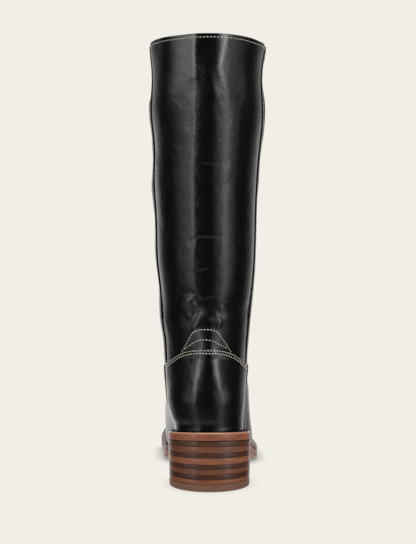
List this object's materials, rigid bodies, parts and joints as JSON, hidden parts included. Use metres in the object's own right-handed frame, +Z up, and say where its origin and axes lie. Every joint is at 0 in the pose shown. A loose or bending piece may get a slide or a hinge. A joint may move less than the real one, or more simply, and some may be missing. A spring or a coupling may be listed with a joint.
{
  "type": "wide calf boot",
  "caption": "Tall pull-on boot in smooth black leather with contrast stitching, a counter and heel tab, a welted leather sole and a stacked leather heel.",
  "frame": {"origin": "on the floor under the middle of the boot's box", "axes": "+Z up, +Y towards the toe, +X towards the boot's outer side"},
  "size_m": [0.111, 0.2606, 0.411],
  "materials": {
    "black_leather": "smooth, glossy",
    "insole_leather": "matte",
    "welt_leather": "satin",
    "outsole_leather": "satin, waxed edge",
    "light_lift_leather": "satin, waxed edge",
    "dark_lift_leather": "satin, waxed edge",
    "top_lift_rubber": "matte"
  },
  "bodies": {
    "root": {"upper": "black_leather", "shaft_front": "black_leather", "vamp": "black_leather", "counter": "black_leather", "heel_tab": "black_leather", "insole": "insole_leather", "welt": "welt_leather", "outsole": "outsole_leather", "heel_lift_1": "light_lift_leather", "heel_lift_2": "dark_lift_leather", "heel_lift_3": "light_lift_leather", "heel_lift_4": "dark_lift_leather", "heel_lift_5": "light_lift_leather", "heel_lift_6": "dark_lift_leather", "heel_lift_7": "light_lift_leather", "heel_lift_8": "dark_lift_leather", "top_lift": "top_lift_rubber"}
  },
  "joints": []
}
